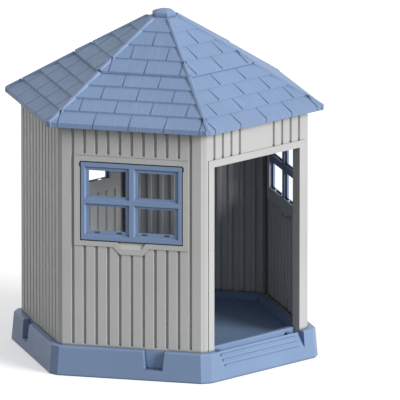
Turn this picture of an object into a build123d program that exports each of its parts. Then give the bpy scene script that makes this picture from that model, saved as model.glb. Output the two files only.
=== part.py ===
from build123d import *
import os
from math import atan, cos, degrees, floor, radians, sin, sqrt, tan

# Six-sided plastic playhouse, in millimetres. The origin is under the middle of the house, on the ground.
# +Z is up, the doorway faces -Y, and the hexagon's corners lie on the X axis.
# Sides are numbered anticlockwise from above, starting at the doorway.

# ---- The hexagon ----
SIDES = 6
SECTOR = 360 / SIDES
HALF_SECTOR = radians(SECTOR / 2)
SIDE_NAMES = ["front", "front_right", "back_right", "back", "back_left", "front_left"]
CORNER_NAMES = ["front_right", "right", "back_right", "back_left", "left", "front_left"]
WINDOW_SIDES = [1, 3, 5]
POCKET_SIDES = {1: -1, 2: 1, 4: -1, 5: 1}  # which way along its side each ground anchor pocket lies

# ---- Walls ----
wall_apothem = 558.5  # centre of the house to a wall's outer face
wall_corner_cut = 14.5  # each wall's face stops this far short of its sharp corner
wall_top = 1143.0
wall_sheet = 5.0
wall_foot_depth = 28.0  # thick bottom edge that stands in the base's channel
wall_flange_width = 28.0  # inward flange at each corner
wall_flange_thick = 5.0
seam_gap = 0.25  # from each moulding's edge to the joint line
groove_pitch = 52.2
groove_width = 15.0
groove_floor = 7.0
groove_depth = 7.0
groove_base_gap = 6.0  # plain strip between the base and the groove ends
groove_top_gap = 12.0
groove_side_margin = 40.0  # plain strip beside the outermost groove
rib_spread = 7.0  # how much wider each groove's backing rib is than the groove's floor

# ---- Doorway ----
door_width = 526.7
door_top = 937.0
door_band_side = 34.0
door_band_top = 31.0
band_proud = 3.0
jamb_depth = 42.0
jamb_thick = 5.0
plaque_half_width = 84.0  # plain panel over the doorway, where the grooves are left out

# ---- Windows ----
sash_width = 450.0
sash_height = 342.5
sash_bottom = 597.5
sash_thick = 24.0
sash_round = 2.5
sash_recess = 1.5  # from the surround's face back to the sash's face
sash_side_gap = 3.2
sash_bottom_gap = 3.5
sash_top_gap = 5.0
surround_below = 22.0  # surround below the window opening
surround_above = 23.0
stile_flat = 17.0  # flat front of the sash's side bars
top_rail_flat = 19.0
bottom_rail_flat = 20.0
crossbar_flat = 20.0
bevel_width = 6.3
bevel_depth = 10.0
ledge_side = 11.0  # thin ledge inside each bevel
ledge_crossbar = 7.0
ledge_sill = 15.0
ledge_thick = 4.0
slot_length = 24.0
slot_height = 8.5
slot_inner_inset = 28.7  # slot centres from the pane's inner and outer edges
slot_outer_inset = 36.2
pin_drop = 24.0  # pivot axis below the sash's top
pin_inset = 10.0  # pivot axis behind the sash's face
pin_radius = 4.0
pin_running_gap = 0.05
pin_grip = 22.0  # pin's length inside the sash
boss_radius = 9.0
boss_length = 8.0
pin_end_gap = 1.0
window_swing = 80.0
window_jamb_thick = 13.0  # frame round the opening, behind the surround
rebate_gap = 0.4  # from the closed sash's back to the rebate it closes against
rebate_thick = 4.0
rebate_side_lap = 23.3  # how far the rebate reaches behind each stile
rebate_sill_lap = 37.5  # and above the sash's bottom edge
relief_height = 20.0
relief_width = 4.5
relief_depth = 8.0
pull_top_width = 126.0
pull_bottom_width = 88.0
pull_height = 28.0
pull_depth = 13.0
pull_backing = 5.0
apron_top_half = 80.0
apron_bottom_half = 51.0
apron_drop = 31.0

# ---- Base ----
base_height = 128.0
base_rim_width = 33.0  # from the walls' outer face to the edge of the base's top
base_draft = 10.2
base_corner_cut = 27.5
base_wall = 5.0
base_top_round = 7.0
base_foot_round = 4.0
channel_gap = 1.0
channel_depth = 28.0
inner_rim_width = 22.0
inner_rim_rise = 8.0  # above the base's outer top
inner_rim_round = 3.0
well_round = 5.0
floor_drop = 28.0  # below the base's outer top
stiffener_thick = 6.0
stiffener_ring_apothem = 300.0
pocket_offset = 106.5
pocket_top_width = 98.0
pocket_bottom_width = 80.0
pocket_floor = 45.0
pocket_back_gap = 3.0
anchor_hole_radius = 5.5
anchor_hole_inset = 1.0  # from the middle of the pocket towards the wall
ramp_drop = 7.0  # the ramp starts this far below the base's outer top
ramp_slope = 1.71
ramp_side_gap = 4.0
tread_side_gap = 29.0
tread_count = 3
tread_pitch = 21.0
tread_first_drop = 12.0
tread_depth = 7.0
tread_root = 2.0
socket_inset = 46.35  # from the jamb
socket_radius = 5.0
socket_boss_radius = 12.0
socket_depth = 18.0

# ---- Roof ----
roof_seat_gap = 0.5
roof_slope = 0.652
roof_shell = 4.5  # measured straight up
eave_overhang = 57.5
eave_corner_cut = 15.0
fascia_height = 21.0
fascia_thick = 5.0
course_count = 4
course_lip = 8.5
course_tuck = 1.0
shingle_width = 157.0
shingle_joint_top = 9.0
shingle_joint_floor = 3.5
shingle_joint_depth = 6.0  # at a shingle's lower edge
shingle_joint_shallow = 2.0  # where it runs under the course above
fascia_joint_depth = 2.5
rib_radius = 13.0
rib_proud = 9.5
rib_root = 2.0  # how far the courses run in under each rib
nose_proud = 5.0  # how far each rib's square end stands out from the eave's corner
nose_round = 4.0
roof_flange_drop = 24.0
roof_flange_thick = 5.0
roof_flange_root = 2.0  # how far the flange runs up into the shell
roof_flange_gap = 4.0  # from the flange's outer end to the wall
crown_apothem = 350.0
crown_lap = 25.0
crown_lap_gap = 2.0
crown_slope = 0.633
crown_shell = 4.0
crown_lip = 6.5
crown_rib_proud = 7.5
crown_corner_cut = 14.0
apex_inset = 0.5  # the crown's shell is drawn almost to the middle, then levelled off
crown_flat_apothem = 57.0  # the level top that the cap stands on
cap_radius = 52.0
cap_side = 18.0
cap_dome = 12.5
cap_shoulder = 7.5  # height of the dome's steeper outer band
cap_shoulder_radius = 38.0
cap_crest_radius = 17.0
cap_round = 4.0
cap_wall = 4.0
cap_plug_radius = 20.0
cap_plug_length = 22.0
cap_plug_gap = 0.5
cap_screw_bite = 18.0
cap_screw_spare = 4.0  # how much deeper the plug's hole is than the screw
cap_washer_proud = 6.0  # the washer's edge beyond the plug
cap_washer_thick = 2.0

# ---- Fixings ----
screw_radius = 2.25
screw_head_radius = 4.75
screw_head_height = 3.0
screw_head_round = 1.3
screw_cross_span = 5.6  # the driver's cross in each head
screw_cross_width = 1.3
screw_cross_depth = 1.6
screw_end_proud = 3.0  # how far a screw's tip stands out behind what it holds
screw_hole_gap = 0.35
screw_bite_gap = 0.02
corner_screw_count = 3
corner_screw_low = 102.0  # above the base
corner_screw_high = 71.0  # below the tie clips
foot_screw_rise = 3.0  # above the middle of the wall's foot
foot_screw_bite = 16.0
foot_screw_spare = 2.0
crown_screw_cover = 0.5  # from a crown screw's tip to the plain of the crown above it
roof_screw_end_gap = 60.0  # along the slope's base, from a flange's ends to its screws
clip_length = 26.0
clip_below_top = 62.0
clip_thick = 4.0
clip_gap = 0.3
clip_back = 3.0
clip_inset = 2.0  # the clip's inner edge stands in from the wall flange's
clip_roof_gap = 4.0
clip_screw_low = 14.0  # above the clip's lower edge
clip_screw_high = 2.0  # above the wall's top
past = 1.0  # how far a cutter runs past the surface that it cuts
hole_reach = 20.0  # half the length of a cutter through a pair of flanges

# ---- Worked out from the sizes above ----
band_face = wall_apothem + band_proud
base_rim_apothem = wall_apothem + base_rim_width
base_foot_apothem = base_rim_apothem + base_draft
channel_floor = base_height - channel_depth
floor_top = base_height - floor_drop
inner_rim_top = base_height + inner_rim_rise
ramp_top = base_height - ramp_drop
channel_outer = wall_apothem + channel_gap
channel_inner = wall_apothem - wall_foot_depth - channel_gap
rim_inner = channel_inner - inner_rim_width
socket_offset = door_width / 2 - socket_inset
tread_half_width = door_width / 2 - ramp_side_gap - tread_side_gap
wall_half_side = wall_apothem * tan(HALF_SECTOR)
opening_width = sash_width + 2 * sash_side_gap
opening_bottom = sash_bottom - sash_bottom_gap
sash_top = sash_bottom + sash_height
opening_top = sash_top + sash_top_gap
surround_bottom = opening_bottom - surround_below
surround_top = opening_top + surround_above
door_band_z = door_top + door_band_top
sash_face = band_face - sash_recess
pin_apothem = sash_face - pin_inset
pin_height = sash_top - pin_drop
eave_apothem = wall_apothem + eave_overhang
far = 3 * eave_apothem
groove_reach = wall_half_side - wall_corner_cut - groove_side_margin
grooves_each_way = floor(groove_reach / groove_pitch)
groove_places = [step * groove_pitch for step in range(-grooves_each_way, grooves_each_way + 1)]
edge_groove = grooves_each_way * groove_pitch
surround_half = edge_groove - groove_width / 2
clip_bottom = wall_top - clip_below_top
screw_span = clip_bottom - corner_screw_high - base_height - corner_screw_low
screw_step = screw_span / (corner_screw_count - 1)
corner_screw_heights = [base_height + corner_screw_low + row * screw_step for row in range(corner_screw_count)]
groove_low = base_height + groove_base_gap
groove_high = wall_top - groove_top_gap
foot_screw_height = (channel_floor + base_height) / 2 + foot_screw_rise
foot_screw_length = inner_rim_width + channel_gap + foot_screw_bite
socket_apothem = (channel_inner + channel_outer) / 2
anchor_apothem = (wall_apothem + pocket_back_gap + base_foot_apothem) / 2 - anchor_hole_inset
crown_screw_apothem = crown_apothem - crown_lap / 2
crown_screw_offset = crown_apothem * tan(HALF_SECTOR) / 2
crown_screw_places = (-crown_screw_offset, crown_screw_offset)
roof_screw_radii = [(crown_apothem + roof_screw_end_gap) / cos(HALF_SECTOR),
                    (wall_apothem - roof_screw_end_gap) / cos(HALF_SECTOR)]
clip_inner_half = wall_flange_thick + seam_gap + clip_gap
clip_screw_heights = [clip_bottom + clip_screw_low, wall_top + clip_screw_high]


def corner_radius(apothem, corner_cut):
    """Centre to the flat across a corner."""
    return apothem / cos(HALF_SECTOR) - corner_cut / 2


def roof_under(apothem):
    return wall_top + roof_seat_gap + roof_slope * (wall_apothem - apothem)


def roof_plain(apothem):
    return roof_under(apothem) + roof_shell


def roof_flange_bottom(radius):
    return roof_under(radius * cos(HALF_SECTOR)) - roof_flange_drop


def crown_under(apothem):
    return roof_plain(crown_apothem) + crown_lap_gap + crown_slope * (crown_apothem - apothem)


def crown_plain(apothem):
    return crown_under(apothem) + crown_shell


flange_outer = corner_radius(wall_apothem, wall_corner_cut) - wall_sheet
flange_middle = flange_outer - wall_flange_width / 2
clip_middle = flange_outer - wall_flange_width - clip_inset + clip_length / 2
crown_top = crown_plain(crown_flat_apothem)
crown_screw_tip = crown_plain(crown_screw_apothem) - crown_screw_cover


# ---- Helpers ----
def around(shape, side):
    """Turn a shape made for the front side to another side."""
    return shape.rotate(Axis.Z, SECTOR * side)


def faceted_hexagon(apothem, corner_cut, height=0.0):
    """Hexagon with a flat across each corner, its sides facing the six walls."""
    reach = apothem * tan(HALF_SECTOR) - corner_cut
    points = []
    for side in range(SIDES):
        turn = radians(SECTOR * side)
        for along in (-reach, reach):
            x = along * cos(turn) + apothem * sin(turn)
            y = along * sin(turn) - apothem * cos(turn)
            points.append((x, y))
    return Pos(0, 0, height) * make_face(Polyline(*points, close=True))


def inset_hexagon(apothem, corner_cut, inset, height=0.0):
    """The same outline moved in by an even distance, its corner flats too."""
    cut = corner_cut - 2 * inset * (1 / cos(HALF_SECTOR) - 1)
    return faceted_hexagon(apothem - inset, cut, height)


def prism(face, height):
    return extrude(face, amount=height, dir=(0, 0, 1))


def hexagon_block(apothem, low, high):
    outline = RegularPolygon(apothem, SIDES, major_radius=False)
    return Pos(0, 0, low) * extrude(outline, amount=high - low)


def sector_block(margin, low, high):
    """Everything in front of the house between two corner planes, less a margin at each."""
    apex = -margin / sin(HALF_SECTOR)
    spread = far * tan(HALF_SECTOR)
    outline = make_face(Polyline((0, apex), (-spread, apex - far), (spread, apex - far), close=True))
    return Pos(0, 0, low) * extrude(outline, amount=high - low)


def side_profile(points, start, end):
    """Front-side solid from an outline of (apothem, height) points, drawn from start to end along the side."""
    outline = make_face(Polyline(*[(start, -apothem, height) for apothem, height in points], close=True))
    return extrude(outline, amount=end - start, dir=(1, 0, 0))


def slab(left, right, outer, inner, low, high):
    """Front-side block between two apothems."""
    size = (right - left, outer - inner, high - low)
    middle = ((left + right) / 2, -(outer + inner) / 2, (low + high) / 2)
    return Pos(*middle) * Box(*size)


def wall_face(points, apothem):
    """Flat outline on a plane parallel to the front wall, from (along, height) points."""
    return make_face(Polyline(*[(along, -apothem, height) for along, height in points], close=True))


def cylinder_along(radius, start, end):
    """Round bar between two points."""
    first = Vector(*start)
    span = Vector(*end) - first
    plane = Plane(origin=first, z_dir=span)
    return extrude(plane * Circle(radius), amount=span.length)


def corner_plate(points, thick, offset):
    """Flat plate beside the joint plane of the front right corner, from (radius, height) points."""
    outline = make_face(Polyline(*[(radius, offset, height) for radius, height in points], close=True))
    plate = extrude(outline, amount=thick, dir=(0, 1, 0))
    return plate.rotate(Axis.Z, SECTOR / 2 - 90)


def screw(seat, tip):
    """Pan-head screw from where its head seats to its tip, with a cross for the driver."""
    start = Vector(*seat)
    run = Vector(*tip) - start
    plane = Plane(origin=start, z_dir=run)
    head = extrude(plane * Circle(screw_head_radius), amount=-screw_head_height)
    head = fillet(head.edges().sort_by(Axis(start, run))[0], screw_head_round)
    cross = Rectangle(screw_cross_span, screw_cross_width) + Rectangle(screw_cross_width, screw_cross_span)
    recess = extrude(plane.offset(-screw_head_height) * cross, amount=screw_cross_depth)
    shank = extrude(plane * Circle(screw_radius), amount=run.length)
    return head + shank - recess


def corner_screw_at(radius, height, start, end):
    """Screw across the front right corner's joint plane, its head seated at start."""
    return screw((radius, start, height), (radius, end, height)).rotate(Axis.Z, SECTOR / 2 - 90)


def corner_hole_at(radius, height, hole_radius, start, end):
    hole = cylinder_along(hole_radius, (radius, start, height), (radius, end, height))
    return hole.rotate(Axis.Z, SECTOR / 2 - 90)


# ---- Walls ----
def groove_pair(along, low, high):
    """Cutter for one moulded groove and the rib that backs it on the inside."""
    height = high - low
    middle = (low + high) / 2
    taper = degrees(atan((groove_width - groove_floor) / 2 / groove_depth))
    outer_plane = Plane(origin=(along, -wall_apothem, middle), x_dir=(0, 0, 1), z_dir=(0, 1, 0))
    inner_plane = Plane(origin=(along, -wall_apothem + wall_sheet, middle), x_dir=(0, 0, 1), z_dir=(0, 1, 0))
    groove = extrude(outer_plane * SlotOverall(height, groove_width), amount=groove_depth, taper=taper)
    rib_width = groove_width + rib_spread
    rib = extrude(inner_plane * SlotOverall(height + rib_spread, rib_width), amount=groove_depth, taper=taper)
    return groove, rib


def plain_wall():
    """One side of the wall ring: sheet, thick foot and a flange at each corner."""
    height = wall_top - channel_floor
    outer = prism(faceted_hexagon(wall_apothem, wall_corner_cut, channel_floor), height)
    inner = prism(inset_hexagon(wall_apothem, wall_corner_cut, wall_sheet, channel_floor), height)
    foot_height = base_height - channel_floor
    foot_outer = prism(faceted_hexagon(wall_apothem, wall_corner_cut, channel_floor), foot_height)
    foot_inner = prism(inset_hexagon(wall_apothem, wall_corner_cut, wall_foot_depth, channel_floor), foot_height)
    ring = (outer - inner) + (foot_outer - foot_inner)
    wall = ring & sector_block(seam_gap, 0, far)
    tip = flange_outer - wall_flange_width
    root = flange_outer + past
    high = roof_flange_bottom(flange_outer) - clip_gap
    low = inner_rim_top + channel_gap
    points = [(tip, low), (root, low), (root, high), (tip, high)]
    flange = corner_plate(points, wall_flange_thick, -seam_gap - wall_flange_thick)
    return wall + flange + flange.mirror(Plane.YZ)


def drill_flange_pair(piece, radius, height):
    """A clear hole in the flange on the head's side and a tight one in the other flange."""
    clear = corner_hole_at(radius, height, screw_radius + screw_hole_gap, -hole_reach, 0)
    tight = corner_hole_at(radius, height, screw_radius + screw_bite_gap, 0, hole_reach)
    return piece - clear - tight.rotate(Axis.Z, -SECTOR)


def drill_corner_flanges(wall):
    for height in corner_screw_heights:
        wall = drill_flange_pair(wall, flange_middle, height)
    return wall


def wall_with_grooves(wall, spans):
    """Press grooves into a wall. spans holds (along, low, high) for each."""
    pairs = [groove_pair(*span) for span in spans]
    wall = wall + [rib for groove, rib in pairs]
    return wall - [groove for groove, rib in pairs]


def solid_wall():
    return wall_with_grooves(plain_wall(), [(along, groove_low, groove_high) for along in groove_places])


def window_wall():
    """Grooved wall with a raised surround, an opening, a rebate for the sash and a finger pull."""
    half = opening_width / 2
    apron_bottom = surround_bottom - apron_drop
    spans = []
    for along in groove_places:
        if abs(along) > surround_half:
            spans.append((along, groove_low, groove_high))
            continue
        under_apron = abs(along) < apron_bottom_half + groove_width / 2
        top = apron_bottom if under_apron else surround_bottom
        spans.append((along, groove_low, top + groove_floor))
        spans.append((along, surround_top + groove_floor, groove_high))
    wall = wall_with_grooves(plain_wall(), spans)
    outline = [(-surround_half, surround_bottom), (-apron_top_half, surround_bottom),
               (-apron_bottom_half, apron_bottom), (apron_bottom_half, apron_bottom),
               (apron_top_half, surround_bottom), (surround_half, surround_bottom),
               (surround_half, surround_top), (-surround_half, surround_top)]
    wall += extrude(wall_face(outline, wall_apothem - wall_sheet), amount=wall_sheet + band_proud, dir=(0, -1, 0))
    rebate_face = sash_face - sash_thick - rebate_gap
    wall += slab(-half - window_jamb_thick, half + window_jamb_thick, wall_apothem, rebate_face - rebate_thick,
                 opening_bottom - window_jamb_thick, opening_top + window_jamb_thick)
    pull_back = wall_apothem - pull_depth - pull_backing
    wall += slab(-pull_top_width / 2 - pull_backing, pull_top_width / 2 + pull_backing,
                 wall_apothem, pull_back, opening_bottom - pull_height - pull_backing, opening_bottom)
    for hand in (-1, 1):
        boss = cylinder_along(boss_radius, (hand * half, -pin_apothem, pin_height),
                              (hand * (half + boss_length), -pin_apothem, pin_height))
        wall += boss
    wall -= slab(-half, half, far, rebate_face, opening_bottom, opening_top)
    wall -= slab(-half, half, far, 0, pin_height - 2 * boss_radius, opening_top)
    clear = sash_width / 2 - rebate_side_lap
    wall -= slab(-clear, clear, far, 0, sash_bottom + rebate_sill_lap, opening_top)
    for hand in (-1, 1):
        edge = hand * half
        reach = hand * (half + boss_length + past)
        wall -= cylinder_along(pin_radius + pin_running_gap, (hand * (half - past), -pin_apothem, pin_height),
                               (reach, -pin_apothem, pin_height))
        relief = edge + hand * relief_width
        wall -= slab(min(edge, relief), max(edge, relief), far, band_face - relief_depth,
                     sash_top - relief_height, sash_top)
    pull_low = opening_bottom - pull_height
    pull_high = opening_bottom + past
    pull_outline = [(-pull_top_width / 2, pull_high), (pull_top_width / 2, pull_high),
                    (pull_bottom_width / 2, pull_low), (-pull_bottom_width / 2, pull_low)]
    mouth = extrude(wall_face(pull_outline, far), amount=far, dir=(0, 1, 0))
    dish_back = band_face - pull_depth
    dish_profile = [(band_face, pull_low), (dish_back, opening_bottom), (dish_back, pull_high), (far, pull_high),
                    (far, pull_low)]
    dish = side_profile(dish_profile, -pull_top_width, pull_top_width)
    return wall - (mouth & dish)


def door_wall():
    """Wall with the doorway, its raised band and deep jambs, and grooves over it."""
    half = door_width / 2
    spans = [(along, door_band_z - groove_width, groove_high) for along in groove_places
             if abs(along) > plaque_half_width]
    wall = wall_with_grooves(plain_wall(), spans)
    band_half = half + door_band_side
    wall += slab(-band_half, band_half, band_face, wall_apothem - wall_sheet, base_height, door_band_z)
    wall += slab(-half - jamb_thick, half + jamb_thick, wall_apothem, channel_inner + channel_gap,
                 base_height, door_top + jamb_thick)
    wall += slab(-half - jamb_thick, half + jamb_thick, wall_apothem, band_face - jamb_depth,
                 inner_rim_top + channel_gap, door_top + jamb_thick)
    return wall - slab(-half, half, far, band_face - jamb_depth - past, 0, door_top)


def foot_screw_places(side):
    """Where the screws through the base's inner rim meet this side's foot."""
    if side == 0:
        edge = (door_width / 2 + wall_half_side - wall_foot_depth) / 2
        return [-edge, edge]
    return [-edge_groove + groove_pitch, 0.0, edge_groove - groove_pitch]


def drill_foot(wall, side):
    for along in foot_screw_places(side):
        wall -= cylinder_along(screw_radius + screw_bite_gap, (along, -channel_inner, foot_screw_height),
                               (along, -rim_inner - foot_screw_length - foot_screw_spare, foot_screw_height))
    return wall


def make_wall(side):
    if side == 0:
        wall = door_wall()
    elif side in WINDOW_SIDES:
        wall = window_wall()
    else:
        wall = solid_wall()
    wall = drill_clip_holes(drill_corner_flanges(drill_foot(wall, side)))
    return around(wall, side)


# ---- Window sash and its pivot pins ----
def sash():
    """Two-by-two open grid: flat bars, a bevel into each pane and a thin ledge round it."""
    half = sash_width / 2
    body = slab(-half, half, sash_face, sash_face - sash_thick, sash_bottom, sash_top)
    body = fillet(body.edges(), sash_round)
    middle = (sash_bottom + sash_top) / 2
    cross = crossbar_flat / 2
    panes = []
    for low, high, low_ledge, high_ledge in (
            (sash_bottom + bottom_rail_flat, middle - cross, ledge_sill, ledge_crossbar),
            (middle + cross, sash_top - top_rail_flat, ledge_crossbar, ledge_side)):
        for left, right in ((-half + stile_flat, -cross), (cross, half - stile_flat)):
            panes.append((left, right, low, high, low_ledge, high_ledge))
    for left, right, low, high, low_ledge, high_ledge in panes:
        floor_of_bevel = sash_face - bevel_depth
        left_in = left + bevel_width
        right_in = right - bevel_width
        low_in = low + bevel_width
        high_in = high - bevel_width
        outer_corners = [(left, low), (right, low), (right, high), (left, high)]
        inner_corners = [(left_in, low_in), (right_in, low_in), (right_in, high_in), (left_in, high_in)]
        outer = wall_face(outer_corners, sash_face)
        inner = wall_face(inner_corners, floor_of_bevel)
        body -= loft([outer, inner], ruled=True)
        body -= slab(left_in + ledge_side, right_in - ledge_side, far, 0, low_in + low_ledge, high_in - high_ledge)
        body -= slab(left_in, right_in, floor_of_bevel - ledge_thick, 0, low_in, high_in)
    slot_middle = sash_bottom + bottom_rail_flat + bevel_width + ledge_sill / 2
    slot_near = cross + bevel_width + ledge_side + slot_inner_inset
    slot_far = half - stile_flat - bevel_width - ledge_side - slot_outer_inset
    for along in (-slot_far, -slot_near, slot_near, slot_far):
        body -= slab(along - slot_length / 2, along + slot_length / 2, sash_face - bevel_width, 0,
                     slot_middle - slot_height / 2, slot_middle + slot_height / 2)
    for hand in (-1, 1):
        body -= cylinder_along(pin_radius + screw_bite_gap, (hand * (half - pin_grip), -pin_apothem, pin_height),
                               (hand * (half + past), -pin_apothem, pin_height))
    return body


def pivot_pins():
    """Two plain pins, fixed in the sash and turning in the jambs."""
    start = sash_width / 2 - pin_grip
    end = opening_width / 2 + boss_length - pin_end_gap
    right = cylinder_along(pin_radius, (start, -pin_apothem, pin_height), (end, -pin_apothem, pin_height))
    return Compound(children=[right, right.mirror(Plane.YZ)])


# ---- Base ----
def pocket_cutter(hand, grow):
    """Tapered pocket in the base's side, open at the top; grow makes the skin behind it."""
    middle = hand * pocket_offset
    high = base_height + past
    points = [(middle - pocket_bottom_width / 2 - grow, pocket_floor - grow),
              (middle + pocket_bottom_width / 2 + grow, pocket_floor - grow),
              (middle + pocket_top_width / 2 + grow, high),
              (middle - pocket_top_width / 2 - grow, high)]
    back = wall_apothem + pocket_back_gap - grow
    return extrude(wall_face(points, back), amount=base_foot_apothem, dir=(0, -1, 0))


def ramp_cutter(grow):
    """Everything outside the sloping entry step, as wide as the doorway."""
    half = door_width / 2 - ramp_side_gap + grow
    start = wall_apothem - grow
    foot = ramp_top - (base_foot_apothem + base_draft - wall_apothem) * ramp_slope
    points = [(start, ramp_top), (base_foot_apothem + base_draft - grow, foot), (far, foot),
              (far, base_height + past), (start, base_height + past)]
    return side_profile(points, -half, half)


def treads():
    """Shallow steps across the ramp."""
    result = []
    for step in range(tread_count):
        top = ramp_top - tread_first_drop - step * tread_pitch
        back = wall_apothem + (ramp_top - top) / ramp_slope
        drop = tread_depth * ramp_slope
        root = back - tread_root
        nose = back + tread_depth
        points = [(root, top), (nose, top), (nose, top - drop), (root, top - drop)]
        result.append(side_profile(points, -tread_half_width, tread_half_width))
    return result


def base_tray():
    bottom = faceted_hexagon(base_foot_apothem, base_corner_cut)
    top = faceted_hexagon(base_rim_apothem, base_corner_cut, base_height)
    body = loft([bottom, top], ruled=True)
    body = fillet(body.edges().group_by(Axis.Z)[-1], base_top_round)
    body = fillet(body.edges().group_by(Axis.Z)[0], base_foot_round)
    channel_out = prism(faceted_hexagon(channel_outer, wall_corner_cut, channel_floor), far)
    rim_low = channel_floor - past
    rim_outline = inset_hexagon(wall_apothem, wall_corner_cut, wall_foot_depth + channel_gap, rim_low)
    rim_block = prism(rim_outline, inner_rim_top - rim_low)
    rim_block = fillet(rim_block.edges().group_by(Axis.Z)[-1], inner_rim_round)
    body = body - channel_out + rim_block
    well = hexagon_block(rim_inner, floor_top, far)
    well = fillet(well.edges().group_by(Axis.Z)[0], well_round)
    body -= well
    body -= ramp_cutter(0)
    body += treads()
    for hand in (-1, 1):
        body += cylinder_along(socket_boss_radius, (hand * socket_offset, -socket_apothem, rim_low),
                               (hand * socket_offset, -socket_apothem, ramp_top))
    hollow_bottom = faceted_hexagon(base_foot_apothem - base_wall, base_corner_cut - base_wall / 2, -past)
    hollow_top = faceted_hexagon(base_rim_apothem - base_wall, base_corner_cut - base_wall / 2, base_height)
    hollow = loft([hollow_bottom, hollow_top], ruled=True)
    hollow -= hexagon_block(far, channel_floor - base_wall, far)
    hollow -= ramp_cutter(base_wall)
    for side, hand in POCKET_SIDES.items():
        hollow -= around(pocket_cutter(hand, base_wall), side)
    boss_low = ramp_top - 2 * socket_depth
    for hand in (-1, 1):
        hollow -= cylinder_along(socket_boss_radius, (hand * socket_offset, -socket_apothem, boss_low),
                                 (hand * socket_offset, -socket_apothem, channel_floor))
    hollow -= stiffeners()
    body -= hollow
    for side, hand in POCKET_SIDES.items():
        body -= around(pocket_cutter(hand, 0), side)
        body -= around(anchor_hole(hand), side)
    for hand in (-1, 1):
        body -= cylinder_along(socket_radius, (hand * socket_offset, -socket_apothem, ramp_top - socket_depth),
                               (hand * socket_offset, -socket_apothem, ramp_top + past))
    for side in range(SIDES):
        for along in foot_screw_places(side):
            hole = cylinder_along(screw_radius + screw_hole_gap, (along, -rim_inner + past, foot_screw_height),
                                  (along, -channel_inner - channel_gap / 2, foot_screw_height))
            body -= around(hole, side)
    return body


def anchor_hole(hand):
    middle = hand * pocket_offset
    return cylinder_along(anchor_hole_radius, (middle, -anchor_apothem, -past),
                          (middle, -anchor_apothem, pocket_floor + past))


def stiffeners():
    """Upright ribs under the floor: three right across and a hexagonal ring."""
    top = channel_floor
    spokes = []
    for turn in range(SIDES // 2):
        spoke = Pos(0, 0, top / 2) * Box(2 * rim_inner, stiffener_thick, top)
        spokes.append(spoke.rotate(Axis.Z, SECTOR / 2 + SECTOR * turn))
    ring = hexagon_block(stiffener_ring_apothem, 0, top)
    ring -= hexagon_block(stiffener_ring_apothem - stiffener_thick, 0, top)
    return ring + spokes


# ---- Roof ----
def course_profile(plain, outer, inner, lip, tuck):
    """Saw-tooth section of the overlapping courses, from the lowest up."""
    pitch = (outer - inner) / course_count
    points = [(outer, plain(outer) - past)]
    for course in range(course_count):
        edge = outer - course * pitch
        points.append((edge, plain(edge) + lip))
        points.append((edge - pitch, plain(edge - pitch) + tuck))
    points.append((inner, plain(inner) - past))
    return points


def joint_cutter(start, end):
    """Tapered slot from the middle of its floor at one end to the middle of its floor at the other."""
    widen = (shingle_joint_top - shingle_joint_floor) / 2 / shingle_joint_depth
    high = 2 * shingle_joint_depth
    low_half = shingle_joint_floor / 2
    high_half = low_half + widen * high
    outline = [(-low_half, 0), (low_half, 0), (high_half, high), (-high_half, high)]
    section = make_face(Polyline(*[start + Vector(along, 0, up) for along, up in outline], close=True))
    run = end - start
    return extrude(section, amount=run.length, dir=tuple(run))


def joint_places(course, edge):
    """Where the joints of one course lie along the side, staggered by half a shingle from course to course."""
    reach = edge * tan(HALF_SECTOR) - rib_radius
    shift = shingle_width / 2 if course % 2 else 0
    count = floor((reach + shift) / shingle_width)
    places = [step * shingle_width - shift for step in range(-count, count + 1 + (course % 2))]
    return [along for along in places if abs(along) <= reach]


def shingle_joints(plain, outer, inner, lip, tuck):
    """Narrow cuts between the shingles of every course."""
    pitch = (outer - inner) / course_count
    cuts = []
    for course in range(course_count):
        edge = outer - course * pitch
        top = edge - pitch
        for along in joint_places(course, edge):
            start = Vector(along, -edge - past, plain(edge) + lip - shingle_joint_depth)
            end = Vector(along, -top, plain(top) + tuck - shingle_joint_shallow)
            cuts.append(joint_cutter(start, end))
    return cuts


def hip_rib(plain, outer, inner, proud):
    """Round rib over the front right corner's joint line."""
    ends = []
    for apothem in (outer, inner):
        radius = apothem / cos(HALF_SECTOR)
        ends.append((radius, 0, plain(apothem) + proud - rib_radius))
    rib = cylinder_along(rib_radius, *ends)
    return rib.rotate(Axis.Z, SECTOR / 2 - 90)


def under_block(under, outer, inner):
    """Everything below a tier's underside, on the front side."""
    points = [(outer, under(outer)), (inner, under(inner)), (inner, 0), (outer, 0)]
    return side_profile(points, -far, far)


def tier_side(under, plain, outer, shell_inner, course_inner, rib_inner, lip, proud):
    """One side of a roof tier: shell, courses, and half of the rib at each corner."""
    points = [(outer, plain(outer)), (shell_inner, plain(shell_inner)), (shell_inner, under(shell_inner)),
              (outer, under(outer))]
    shell = side_profile(points, -far, far)
    courses = side_profile(course_profile(plain, outer, course_inner, lip, course_tuck), -far, far)
    courses &= sector_block(rib_radius - rib_root, 0, far)
    rib = hip_rib(plain, outer + 2 * rib_radius, rib_inner, proud)
    ribs = (rib + rib.mirror(Plane.YZ)) - under_block(under, far, 0)
    side = (shell + courses + ribs) & sector_block(0, 0, 2 * far)
    return side - shingle_joints(plain, outer, course_inner, lip, course_tuck)


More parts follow.
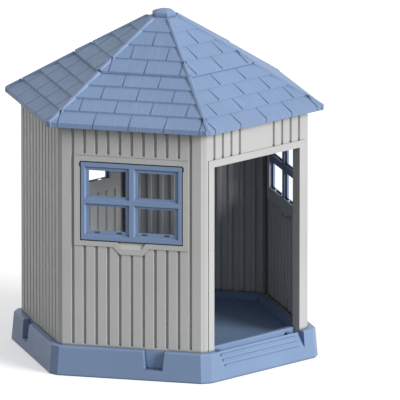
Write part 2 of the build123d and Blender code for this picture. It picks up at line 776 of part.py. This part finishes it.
def rib_nose(low):
    """Square-ended stop under the front right rib at the eave's corner, and the room for the rib above it."""
    flat = corner_radius(eave_apothem, eave_corner_cut)
    face = flat + nose_proud
    high = roof_plain(face * cos(HALF_SECTOR)) + rib_proud - rib_radius
    back = flat - fascia_thick
    nose = Pos((back + face) / 2, 0, (low + high) / 2) * Box(face - back, 2 * rib_radius, high - low)
    outer_edges = [edge for edge in nose.faces().sort_by(Axis.X)[-1].edges() if edge.center().Z < high - past]
    nose = fillet(outer_edges, nose_round)
    room_high = high + 2 * rib_radius
    room = Pos((back + face) / 2, 0, (low + room_high) / 2) * Box(face - back, 2 * rib_radius, room_high - low)
    return nose.rotate(Axis.Z, SECTOR / 2 - 90), room.rotate(Axis.Z, SECTOR / 2 - 90)


def lower_roof_panel():
    """One of the six lower roof panels, with a fascia and a joining flange under each rib."""
    rib_inner = (corner_radius(crown_apothem, crown_corner_cut) + crown_lap_gap) * cos(HALF_SECTOR)
    side = tier_side(roof_under, roof_plain, eave_apothem, crown_apothem - crown_lap, crown_apothem, rib_inner,
                     course_lip, rib_proud)
    eave_top = roof_plain(eave_apothem) + course_lip
    eave_low = eave_top - fascia_height
    joint_half = shingle_joint_floor / 2
    joint_back = eave_apothem - fascia_joint_depth
    side += slab(-far, far, eave_apothem, eave_apothem - fascia_thick, eave_low, eave_top - shingle_joint_depth)
    for along in joint_places(0, eave_apothem):
        side -= slab(along - joint_half, along + joint_half, far, joint_back, eave_low - past, eave_top)
    end, limit = rib_nose(eave_low)
    side += [end, end.mirror(Plane.YZ)]
    outer_end = flange_outer - roof_flange_gap
    inner_end = (crown_apothem + crown_lap) / cos(HALF_SECTOR)
    points = [(outer_end, roof_flange_bottom(outer_end)), (inner_end, roof_flange_bottom(inner_end)),
              (inner_end, roof_under(inner_end * cos(HALF_SECTOR)) + roof_flange_root),
              (outer_end, roof_under(outer_end * cos(HALF_SECTOR)) + roof_flange_root)]
    flange = corner_plate(points, roof_flange_thick, -seam_gap - roof_flange_thick)
    side += [flange, flange.mirror(Plane.YZ)]
    side &= prism(faceted_hexagon(eave_apothem, eave_corner_cut), far) + [limit, limit.mirror(Plane.YZ)]
    side &= sector_block(seam_gap, 0, far)
    return drill_crown_holes(drill_clip_holes(drill_roof_flanges(side)))


def crown():
    """Upper roof tier in one piece, flat on top for the cap."""
    inner = crown_flat_apothem
    ring = inner + crown_shell
    side = tier_side(crown_under, crown_plain, crown_apothem, apex_inset, ring, ring, crown_lip, crown_rib_proud)
    whole = side
    for turn in range(1, SIDES):
        whole += around(side, turn)
    whole &= prism(faceted_hexagon(crown_apothem, crown_corner_cut), crown_top)
    plate = hexagon_block(ring, crown_top - 2 * crown_shell, crown_top)
    whole += plate & hexagon_block(inner, 0, far)
    whole -= Pos(0, 0, crown_top) * Cylinder(cap_plug_radius + cap_plug_gap, far)
    for side_number in range(SIDES):
        for along in crown_screw_places:
            whole -= around(crown_screw_hole(along, screw_radius + screw_hole_gap), side_number)
    return whole


def crown_screw_hole(along, radius):
    """Upright hole through the lap, blind in the crown."""
    top = crown_screw_tip + crown_screw_cover
    return cylinder_along(radius, (along, -crown_screw_apothem, top - 2 * hole_reach),
                          (along, -crown_screw_apothem, top))


def drill_crown_holes(panel):
    for along in crown_screw_places:
        panel -= crown_screw_hole(along, screw_radius + screw_bite_gap)
    return panel


def crown_screws():
    """Short screws up through the lap from inside: head below, tip in the crown's shell."""
    low = roof_under(crown_screw_apothem) - screw_head_radius * roof_slope - screw_hole_gap
    screws = []
    for side in range(SIDES):
        for along in crown_screw_places:
            piece = screw((along, -crown_screw_apothem, low), (along, -crown_screw_apothem, crown_screw_tip))
            screws.append(around(piece, side))
    return Compound(children=screws)


def roof_cap():
    """Six-sided cap with a low dome and a plug that fits the crown's hole."""
    outline = RegularPolygon(cap_radius, SIDES)
    body = Pos(0, 0, crown_top) * extrude(outline, amount=cap_side)
    rim = crown_top + cap_side
    rings = [(cap_radius, 0), (cap_shoulder_radius, cap_shoulder), (cap_crest_radius, cap_dome)]
    for lower, upper in zip(rings, rings[1:]):
        body += loft([Pos(0, 0, rim + rise) * RegularPolygon(radius, SIDES) for radius, rise in (lower, upper)],
                     ruled=True)
    body = fillet(body.edges().filter_by(Axis.Z, reverse=True).group_by(Axis.Z)[-1], cap_round)
    hollow_radius = cap_radius - cap_wall / cos(HALF_SECTOR)
    body -= Pos(0, 0, crown_top) * extrude(RegularPolygon(hollow_radius, SIDES), amount=cap_side - cap_wall)
    body += Pos(0, 0, crown_top + cap_side / 2 - cap_plug_length / 2) * Cylinder(
        cap_plug_radius, cap_side + cap_plug_length)
    plug_end = crown_top - cap_plug_length
    body -= cylinder_along(screw_radius + screw_bite_gap, (0, 0, plug_end - past),
                           (0, 0, plug_end + cap_screw_bite + cap_screw_spare))
    return body


# ---- Clips that tie walls to roof at each corner ----
def tie_clip():
    """U-shaped clip that straddles the wall flanges below and the roof flanges above."""
    low_radius = clip_middle - clip_length / 2
    high_radius = clip_middle + clip_length / 2
    top_low = roof_under(low_radius * cos(HALF_SECTOR)) - clip_roof_gap
    top_high = roof_under(high_radius * cos(HALF_SECTOR)) - clip_roof_gap
    cheek = [(low_radius, clip_bottom), (high_radius, clip_bottom), (high_radius, top_high), (low_radius, top_low)]
    left = corner_plate(cheek, clip_thick, clip_inner_half)
    right = corner_plate(cheek, clip_thick, -clip_inner_half - clip_thick)
    back_top = roof_flange_bottom(low_radius) - 2 * clip_gap
    back = [(low_radius - clip_back, clip_bottom), (low_radius, clip_bottom), (low_radius, back_top),
            (low_radius - clip_back, back_top)]
    bridge = corner_plate(back, 2 * (clip_inner_half + clip_thick), -clip_inner_half - clip_thick)
    body = left + right + bridge
    for height in clip_screw_heights:
        body -= corner_hole_at(clip_middle, height, screw_radius + screw_hole_gap, -hole_reach, hole_reach)
    return body


def drill_clip_holes(piece):
    """Holes for the clip screws through the flanges at both ends of a wall or roof panel."""
    for height in clip_screw_heights:
        hole = corner_hole_at(clip_middle, height, screw_radius + screw_hole_gap, -hole_reach, hole_reach)
        piece = piece - hole - hole.rotate(Axis.Z, -SECTOR)
    return piece


def clip_screws():
    outside = clip_inner_half + clip_thick
    screws = []
    for corner in range(SIDES):
        for height in clip_screw_heights:
            piece = corner_screw_at(clip_middle, height, -outside, outside + screw_end_proud)
            screws.append(around(piece, corner))
    return Compound(children=screws)


def corner_screws():
    outside = seam_gap + wall_flange_thick
    screws = []
    for corner in range(SIDES):
        for height in corner_screw_heights:
            piece = corner_screw_at(flange_middle, height, -outside, outside + screw_end_proud)
            screws.append(around(piece, corner))
    return Compound(children=screws)


def roof_screw_height(radius):
    return roof_under(radius * cos(HALF_SECTOR)) - roof_flange_drop / 2


def drill_roof_flanges(panel):
    for radius in roof_screw_radii:
        panel = drill_flange_pair(panel, radius, roof_screw_height(radius))
    return panel


def roof_screws():
    outside = seam_gap + roof_flange_thick
    screws = []
    for corner in range(SIDES):
        for radius in roof_screw_radii:
            piece = corner_screw_at(radius, roof_screw_height(radius), -outside, outside + screw_end_proud)
            screws.append(around(piece, corner))
    return Compound(children=screws)


def foot_screws():
    """Screws from inside, through the base's inner rim into the walls' feet."""
    screws = []
    for side in range(SIDES):
        for along in foot_screw_places(side):
            piece = screw((along, -rim_inner, foot_screw_height),
                          (along, -rim_inner - foot_screw_length, foot_screw_height))
            screws.append(around(piece, side))
    return Compound(children=screws)


def cap_screw():
    """Screw up into the cap's plug, with a broad washer under the crown."""
    plug_end = crown_top - cap_plug_length
    seat = plug_end - cap_washer_thick
    washer = cylinder_along(cap_plug_radius + cap_washer_proud, (0, 0, seat), (0, 0, plug_end))
    return washer + screw((0, 0, seat), (0, 0, plug_end + cap_screw_bite))


# ---- Write one file per piece ----
def save(shape, name):
    export_step(shape, f"parts/{name}.step")


os.makedirs("parts", exist_ok=True)
save(base_tray(), "base_tray")
for side in range(SIDES):
    save(make_wall(side), f"wall_{SIDE_NAMES[side]}")
sash_front = sash()
for side in WINDOW_SIDES:
    save(around(sash_front, side), f"window_{SIDE_NAMES[side]}")
    save(around(pivot_pins(), side), f"window_pins_{SIDE_NAMES[side]}")
panel = lower_roof_panel()
clip = tie_clip()
for side in range(SIDES):
    save(around(panel, side), f"roof_panel_{SIDE_NAMES[side]}")
    save(around(clip, side), f"tie_clip_{CORNER_NAMES[side]}")
save(crown(), "roof_crown")
save(roof_cap(), "roof_cap")
save(cap_screw(), "cap_screw")
save(crown_screws(), "crown_screws")
save(roof_screws(), "roof_screws")
save(clip_screws(), "clip_screws")
save(corner_screws(), "corner_screws")
save(foot_screws(), "foot_screws")
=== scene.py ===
# %% [markdown]
# # A six-sided plastic playhouse The house is a kit of large mouldings: a blue tray, six ribbed wall
# panels, three window sashes that swing out, a two-tier shingled roof and a cap. The CAD frame already
# holds every one of them at its real size, so this lesson is about looks: a camera and studio light, the
# satin plastic of each moulding, the wood grain on the roof and the zinc on the screws.

# %% Load the frame
from math import cos, radians, sin

import bmesh
import bpy
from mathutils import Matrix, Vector

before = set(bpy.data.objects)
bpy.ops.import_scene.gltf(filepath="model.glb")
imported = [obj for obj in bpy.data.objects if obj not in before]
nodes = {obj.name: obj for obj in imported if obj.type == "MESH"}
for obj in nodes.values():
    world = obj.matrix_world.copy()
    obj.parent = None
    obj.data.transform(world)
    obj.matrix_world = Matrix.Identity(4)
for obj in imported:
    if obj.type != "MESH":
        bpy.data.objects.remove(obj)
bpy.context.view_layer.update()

# %% [markdown]
# ## The studio camera A house this size photographs best from far away through a long lens: the walls stay
# upright and the roof keeps its true slopes. The camera stands off the front left corner and looks slightly
# down. Its place is worked out from three directions (forward, right and up), so the framing can be shifted
# without turning the view.

# %% Point the camera
SENSOR = 36.0
LENS = 1132.7
VIEW_DISTANCE = 54.66
VIEW_ELEVATION = radians(13.283)
VIEW_TURN = radians(-45.62)
AIM_RIGHT = 0.1554
AIM_UP = 0.6391

toward_camera = Vector((
    sin(VIEW_TURN) * cos(VIEW_ELEVATION),
    -cos(VIEW_TURN) * cos(VIEW_ELEVATION),
    sin(VIEW_ELEVATION),
))
camera_right = Vector((cos(VIEW_TURN), sin(VIEW_TURN), 0))
camera_up = toward_camera.cross(camera_right)

camera_data = bpy.data.cameras.new("studio_camera")
camera_data.sensor_width = SENSOR
camera_data.lens = LENS
camera_data.clip_end = 2 * VIEW_DISTANCE
camera = bpy.data.objects.new("studio_camera", camera_data)
bpy.context.scene.collection.objects.link(camera)
camera.location = camera_right * AIM_RIGHT + camera_up * AIM_UP + toward_camera * VIEW_DISTANCE
camera.rotation_euler = toward_camera.to_track_quat("Z", "Y").to_euler()
bpy.context.scene.camera = camera
print("camera at", [round(c, 2) for c in camera.location],
      "looking along", [round(-c, 3) for c in toward_camera])

# %% [markdown]
# ## Floor and light Catalogue pictures stand the product on a seamless white sweep. One large soft lamp,
# low in front of the doorway, lights the doorway wall fully and the window wall at a glancing angle. It
# leaves the other walls to the room's weak fill, which is what separates the six sides. The room and floor
# could simply be white, but then they would light the inside of the house as well. So each has two shaders:
# a bright one for the lens and for glossy reflections, and a dim one that lights the house.

# %% Studio helpers
def studio_nodes(owner):
    """Clear a material's or world's node tree and return its nodes, links and output node."""
    owner.use_nodes = True
    tree = owner.node_tree
    tree.nodes.clear()
    kind = "ShaderNodeOutputWorld" if isinstance(owner, bpy.types.World) else "ShaderNodeOutputMaterial"
    return tree.nodes, tree.links, tree.nodes.new(kind)


def shown_to_eye(shaders, links, lighting, picture):
    """One shader lights the house; the other is what the lens and glossy plastic see."""
    ray = shaders.new("ShaderNodeLightPath")
    eye = shaders.new("ShaderNodeMath")
    eye.operation = "MAXIMUM"
    links.new(ray.outputs["Is Camera Ray"], eye.inputs[0])
    links.new(ray.outputs["Is Glossy Ray"], eye.inputs[1])
    choose = shaders.new("ShaderNodeMixShader")
    links.new(eye.outputs["Value"], choose.inputs["Fac"])
    links.new(lighting, choose.inputs[1])
    links.new(picture, choose.inputs[2])
    return choose.outputs["Shader"]


# %% Room fill
ROOM_WHITE = 1.0
FILL_TINT = (0.98, 0.99, 1, 1)
FILL_HORIZON = 0.125
FILL_OVERHEAD = 0.82
world = bpy.data.worlds.new("studio_room")
bpy.context.scene.world = world
shaders, links, output = studio_nodes(world)
seen = shaders.new("ShaderNodeBackground")
seen.inputs["Strength"].default_value = ROOM_WHITE
seen.inputs["Color"].default_value = (1, 1, 1, 1)
fill = shaders.new("ShaderNodeBackground")
fill.inputs["Color"].default_value = FILL_TINT
skyward = shaders.new("ShaderNodeSeparateXYZ")
links.new(shaders.new("ShaderNodeTexCoord").outputs["Generated"], skyward.inputs["Vector"])
rise = shaders.new("ShaderNodeMapRange")
rise.inputs["To Min"].default_value = FILL_HORIZON
rise.inputs["To Max"].default_value = FILL_OVERHEAD
links.new(skyward.outputs["Z"], rise.inputs["Value"])
links.new(rise.outputs["Result"], fill.inputs["Strength"])
links.new(
    shown_to_eye(shaders, links, fill.outputs["Background"], seen.outputs["Background"]),
    output.inputs["Surface"],
)

# %% White sweep
FLOOR_HALF = 60.0
FLOOR_SEEN = (0.8, 0.8, 0.8, 1)
FLOOR_GLOW = 0.36
FLOOR_BOUNCE = (0.26, 0.26, 0.26, 1)
floor_mesh = bpy.data.meshes.new("floor")
floor_shape = bmesh.new()
bmesh.ops.create_grid(floor_shape, x_segments=1, y_segments=1, size=FLOOR_HALF)
floor_shape.to_mesh(floor_mesh)
floor_shape.free()
floor = bpy.data.objects.new("floor", floor_mesh)
bpy.context.scene.collection.objects.link(floor)

sweep = bpy.data.materials.new("white_sweep")
shaders, links, output = studio_nodes(sweep)
paint = shaders.new("ShaderNodeBsdfDiffuse")
paint.inputs["Color"].default_value = FLOOR_SEEN
glow = shaders.new("ShaderNodeEmission")
glow.inputs["Strength"].default_value = FLOOR_GLOW
bright = shaders.new("ShaderNodeAddShader")
links.new(paint.outputs["BSDF"], bright.inputs[0])
links.new(glow.outputs["Emission"], bright.inputs[1])
bounce = shaders.new("ShaderNodeBsdfDiffuse")
bounce.inputs["Color"].default_value = FLOOR_BOUNCE
links.new(
    shown_to_eye(shaders, links, bounce.outputs["BSDF"], bright.outputs["Shader"]),
    output.inputs["Surface"],
)
floor_mesh.materials.append(sweep)

# %% Key lamp
KEY_STRENGTH = 3.45
KEY_TURN = radians(8.5)
KEY_ELEVATION = radians(20)
KEY_SOFTNESS = radians(30)
key_data = bpy.data.lights.new("key_lamp", "SUN")
key_data.energy = KEY_STRENGTH
key_data.angle = KEY_SOFTNESS
key = bpy.data.objects.new("key_lamp", key_data)
bpy.context.scene.collection.objects.link(key)
key_from = Vector((
    sin(KEY_TURN) * cos(KEY_ELEVATION),
    -cos(KEY_TURN) * cos(KEY_ELEVATION),
    sin(KEY_ELEVATION),
))
key.rotation_euler = key_from.to_track_quat("Z", "Y").to_euler()
bpy.context.scene.view_settings.view_transform = "Standard"
print("the key lamp shines from", [round(c, 2) for c in key_from])

# %% [markdown]
# ## Satin moulded plastic Every large piece is injection moulded polypropylene with the pigment in the
# resin: the colour hardly varies, but the surface is never perfect. The mould is spark-eroded to a fine
# grain, the sheet is slightly wavy where it cooled over ribs and handling pales the edges. Shade is also
# painted darker into close hollows such as grooves and joints. A single procedural material with a few
# settings gives all of that. It reads Object coordinates, so the grain is the same size on every piece. A
# Bevel node finds the edges and an Ambient Occlusion node finds the hollows for the painted shade.

# %% Plastic maker
PLASTIC_IOR = 1.49
# Painted shade in hollows: how far the occlusion mask reaches, and how dark the painted shade colour is.
EDGE_RADIUS = 0.0009
SHADE_REACH = 0.014
PAINTED_SHADE_TONE = 0.16


def moulded_plastic(name, pigment, edge_tint, roughness, grain=1.0, hollow_shade=0.9, streaks=None,
                    drift_depth=0.04):
    """Satin plastic with a spark-eroded grain, faint colour drift, rubbed edges and painted shade in its
    hollows.
    """
    plastic = bpy.data.materials.new(name)
    shaders, links, output = studio_nodes(plastic)
    surface = shaders.new("ShaderNodeBsdfPrincipled")
    links.new(surface.outputs["BSDF"], output.inputs["Surface"])
    surface.inputs["IOR"].default_value = PLASTIC_IOR
    place = shaders.new("ShaderNodeTexCoord").outputs["Object"]

    drift = shaders.new("ShaderNodeTexNoise")
    drift.inputs["Scale"].default_value = 3.1
    drift.inputs["Detail"].default_value = 4.0
    links.new(place, drift.inputs["Vector"])
    shades = shaders.new("ShaderNodeValToRGB")
    shades.color_ramp.elements[0].position = 0.35
    shades.color_ramp.elements[0].color = (*[(1 - drift_depth) * c for c in pigment], 1)
    shades.color_ramp.elements[1].position = 0.68
    shades.color_ramp.elements[1].color = (*[(1 + drift_depth) * c for c in pigment], 1)
    links.new(drift.outputs["Fac"], shades.inputs["Fac"])
    if streaks:
        ridges = streaks(shaders, links, place)
        mottled = shaders.new("ShaderNodeMix")
        mottled.inputs["Factor"].default_value = 0.6
        links.new(drift.outputs["Fac"], mottled.inputs["A"])
        links.new(ridges, mottled.inputs["B"])
        links.new(mottled.outputs["Result"], shades.inputs["Fac"])

    edge = shaders.new("ShaderNodeBevel")
    edge.samples = 4
    edge.inputs["Radius"].default_value = EDGE_RADIUS
    shape = shaders.new("ShaderNodeNewGeometry")
    facing = shaders.new("ShaderNodeVectorMath")
    facing.operation = "DOT_PRODUCT"
    links.new(edge.outputs["Normal"], facing.inputs[0])
    links.new(shape.outputs["Normal"], facing.inputs[1])
    rubbed = shaders.new("ShaderNodeMapRange")
    rubbed.inputs["From Min"].default_value = 0.995
    rubbed.inputs["From Max"].default_value = 0.90
    rubbed.inputs["To Max"].default_value = 0.55
    links.new(facing.outputs["Value"], rubbed.inputs["Value"])
    scuffs = shaders.new("ShaderNodeTexNoise")
    scuffs.inputs["Scale"].default_value = 34.0
    scuffs.inputs["Detail"].default_value = 5.0
    links.new(place, scuffs.inputs["Vector"])
    # Painted shade: an Ambient Occlusion mask darkens the colour in close hollows (grooves, joints, lips),
    # standing in for the shade that falls there.
    hollow = shaders.new("ShaderNodeAmbientOcclusion")
    hollow.samples = 6
    hollow.inputs["Distance"].default_value = SHADE_REACH
    painted_shade_mask = shaders.new("ShaderNodeMapRange")
    painted_shade_mask.inputs["From Min"].default_value = 0.88
    painted_shade_mask.inputs["From Max"].default_value = 0.42
    painted_shade_mask.inputs["To Max"].default_value = hollow_shade
    links.new(hollow.outputs["AO"], painted_shade_mask.inputs["Value"])
    shaded_colour = shaders.new("ShaderNodeMix")
    shaded_colour.data_type = "RGBA"
    links.new(painted_shade_mask.outputs["Result"], shaded_colour.inputs["Factor"])
    links.new(shades.outputs["Color"], shaded_colour.inputs["A"])
    shaded_colour.inputs["B"].default_value = (*[PAINTED_SHADE_TONE * c for c in pigment], 1)
    patchy = shaders.new("ShaderNodeMath")
    patchy.operation = "MULTIPLY"
    links.new(rubbed.outputs["Result"], patchy.inputs[0])
    links.new(scuffs.outputs["Fac"], patchy.inputs[1])
    worn = shaders.new("ShaderNodeMix")
    worn.data_type = "RGBA"
    links.new(patchy.outputs["Value"], worn.inputs["Factor"])
    links.new(shaded_colour.outputs["Result"], worn.inputs["A"])
    worn.inputs["B"].default_value = (*edge_tint, 1)
    links.new(worn.outputs["Result"], surface.inputs["Base Color"])

    sheen = shaders.new("ShaderNodeMapRange")
    sheen.inputs["From Min"].default_value = 0.3
    sheen.inputs["From Max"].default_value = 0.7
    sheen.inputs["To Min"].default_value = roughness - 0.05
    sheen.inputs["To Max"].default_value = roughness + 0.06
    links.new(scuffs.outputs["Fac"], sheen.inputs["Value"])
    links.new(sheen.outputs["Result"], surface.inputs["Roughness"])

    pits = shaders.new("ShaderNodeTexNoise")
    pits.inputs["Scale"].default_value = 620.0
    pits.inputs["Detail"].default_value = 2.0
    links.new(place, pits.inputs["Vector"])
    waves = shaders.new("ShaderNodeTexNoise")
    waves.inputs["Scale"].default_value = 9.0
    waves.inputs["Detail"].default_value = 1.0
    links.new(place, waves.inputs["Vector"])
    swell = shaders.new("ShaderNodeBump")
    swell.inputs["Strength"].default_value = 0.25
    swell.inputs["Distance"].default_value = 0.002
    links.new(waves.outputs["Fac"], swell.inputs["Height"])
    links.new(edge.outputs["Normal"], swell.inputs["Normal"])
    relief = swell
    if streaks:
        relief = shaders.new("ShaderNodeBump")
        relief.inputs["Strength"].default_value = 0.8
        relief.inputs["Distance"].default_value = 0.0012
        links.new(ridges, relief.inputs["Height"])
        links.new(swell.outputs["Normal"], relief.inputs["Normal"])
    skin = shaders.new("ShaderNodeBump")
    skin.inputs["Strength"].default_value = 0.35 * grain
    skin.inputs["Distance"].default_value = 0.00025
    links.new(pits.outputs["Fac"], skin.inputs["Height"])
    links.new(relief.outputs["Normal"], skin.inputs["Normal"])
    links.new(skin.outputs["Normal"], surface.inputs["Normal"])
    return plastic


# %% [markdown]
# ## Wood grain on the shingles The roof mouldings imitate split cedar: each shingle has fine raised streaks
# that run straight down the slope. Real streaks would be cut in the mould. Here one noise texture is
# stretched along the slope. There are six slopes, so the grain first needs each slope's own directions: a
# few maths nodes turn a point's place round the house's middle into the nearest slope, then into how far
# the point is across that slope and how far out.

# %% Streaks down each slope
SLOPE_ANGLE = radians(60)
STREAKS_ACROSS = 230.0
STREAKS_OUT = 7.0


def maths(shaders, links, operation, first, second=None):
    """One maths node: its inputs are sockets or plain numbers."""
    node = shaders.new("ShaderNodeMath")
    node.operation = operation
    for socket, value in zip(node.inputs, (first, second)):
        if isinstance(value, bpy.types.NodeSocket):
            links.new(value, socket)
        elif value is not None:
            socket.default_value = value
    return node.outputs["Value"]


def shingle_streaks(shaders, links, place):
    """Noise stretched along the slope that a point lies on."""
    split = shaders.new("ShaderNodeSeparateXYZ")
    links.new(place, split.inputs["Vector"])
    back = split.outputs["Y"]
    side = split.outputs["X"]
    turn = maths(shaders, links, "ARCTAN2", side, back)
    slope = maths(shaders, links, "ROUND", maths(shaders, links, "DIVIDE", turn, SLOPE_ANGLE))
    middle = maths(shaders, links, "MULTIPLY", slope, SLOPE_ANGLE)
    away = maths(shaders, links, "SUBTRACT", turn, middle)
    far = maths(
        shaders, links, "SQRT",
        maths(shaders, links, "ADD", maths(shaders, links, "MULTIPLY", side, side),
              maths(shaders, links, "MULTIPLY", back, back)),
    )
    across = maths(shaders, links, "MULTIPLY", far, maths(shaders, links, "SINE", away))
    out = maths(shaders, links, "MULTIPLY", far, maths(shaders, links, "COSINE", away))
    stretched = shaders.new("ShaderNodeCombineXYZ")
    links.new(maths(shaders, links, "MULTIPLY", across, STREAKS_ACROSS), stretched.inputs["X"])
    links.new(maths(shaders, links, "MULTIPLY", out, STREAKS_OUT), stretched.inputs["Y"])
    links.new(maths(shaders, links, "MULTIPLY", slope, STREAKS_OUT), stretched.inputs["Z"])
    streaks = shaders.new("ShaderNodeTexNoise")
    streaks.inputs["Scale"].default_value = 1.0
    streaks.inputs["Detail"].default_value = 3.0
    links.new(stretched.outputs["Vector"], streaks.inputs["Vector"])
    return streaks.outputs["Fac"]


# %% [markdown]
# ## Zinc plated screws
# The screws are bright zinc steel: a metal with a slightly mottled, bluish coat, brushed by the driver.

# %% Zinc steel
def zinc_steel(name):
    """Plated steel: metallic, mottled in colour and gloss, with faint turning marks."""
    steel = bpy.data.materials.new(name)
    shaders, links, output = studio_nodes(steel)
    surface = shaders.new("ShaderNodeBsdfPrincipled")
    surface.inputs["Metallic"].default_value = 1.0
    links.new(surface.outputs["BSDF"], output.inputs["Surface"])
    mottle = shaders.new("ShaderNodeTexNoise")
    mottle.inputs["Scale"].default_value = 260.0
    mottle.inputs["Detail"].default_value = 4.0
    links.new(shaders.new("ShaderNodeTexCoord").outputs["Object"], mottle.inputs["Vector"])
    coat = shaders.new("ShaderNodeValToRGB")
    coat.color_ramp.elements[0].position = 0.35
    coat.color_ramp.elements[0].color = (0.26, 0.27, 0.29, 1)
    coat.color_ramp.elements[1].position = 0.7
    coat.color_ramp.elements[1].color = (0.52, 0.53, 0.54, 1)
    links.new(mottle.outputs["Fac"], coat.inputs["Fac"])
    links.new(coat.outputs["Color"], surface.inputs["Base Color"])
    gloss = shaders.new("ShaderNodeMapRange")
    gloss.inputs["To Min"].default_value = 0.28
    gloss.inputs["To Max"].default_value = 0.5
    links.new(mottle.outputs["Fac"], gloss.inputs["Value"])
    links.new(gloss.outputs["Result"], surface.inputs["Roughness"])
    marks = shaders.new("ShaderNodeBump")
    marks.inputs["Strength"].default_value = 0.3
    marks.inputs["Distance"].default_value = 0.0002
    links.new(mottle.outputs["Fac"], marks.inputs["Height"])
    links.new(marks.outputs["Normal"], surface.inputs["Normal"])
    return steel


# %% Mix the house's colours
WALL_GREY = (0.475, 0.475, 0.467)
PALE_BLUE = (0.184, 0.270, 0.434)
RUBBED_BLUE = (0.33, 0.41, 0.56)
wall_plastic = moulded_plastic("wall_plastic", WALL_GREY, (0.60, 0.60, 0.59), 0.46)
base_plastic = moulded_plastic("base_plastic", PALE_BLUE, RUBBED_BLUE, 0.44)
# The roof gets a lighter painted shade in its joints and under its course lips.
roof_plastic = moulded_plastic(
    "roof_plastic", PALE_BLUE, RUBBED_BLUE, 0.50, hollow_shade=0.6, streaks=shingle_streaks, drift_depth=0.11
)
window_plastic = moulded_plastic("window_plastic", PALE_BLUE, (0.31, 0.40, 0.54), 0.38, grain=0.6)
pin_plastic = moulded_plastic("pin_plastic", (0.10, 0.11, 0.12), (0.2, 0.2, 0.2), 0.35, grain=0.4)
clip_plastic = moulded_plastic("clip_plastic", (0.30, 0.31, 0.32), (0.42, 0.42, 0.42), 0.42)
screw_steel = zinc_steel("screw_steel")
print("walls are mixed from", WALL_GREY, "and the blue pieces from", PALE_BLUE)

# %% Paint the CAD mouldings
finish_of = {
    "base_": base_plastic,
    "wall_": wall_plastic,
    "window_pins": pin_plastic,
    "window_": window_plastic,
    "roof_": roof_plastic,
    "tie_clip": clip_plastic,
}
for name, node in nodes.items():
    finish = screw_steel
    if not name.endswith(("screw", "screws")):
        finish = next(finish_of[prefix] for prefix in finish_of if name.startswith(prefix))
    node.data.materials.clear()
    node.data.materials.append(finish)
print("painted", len(nodes), "mouldings and fixings")
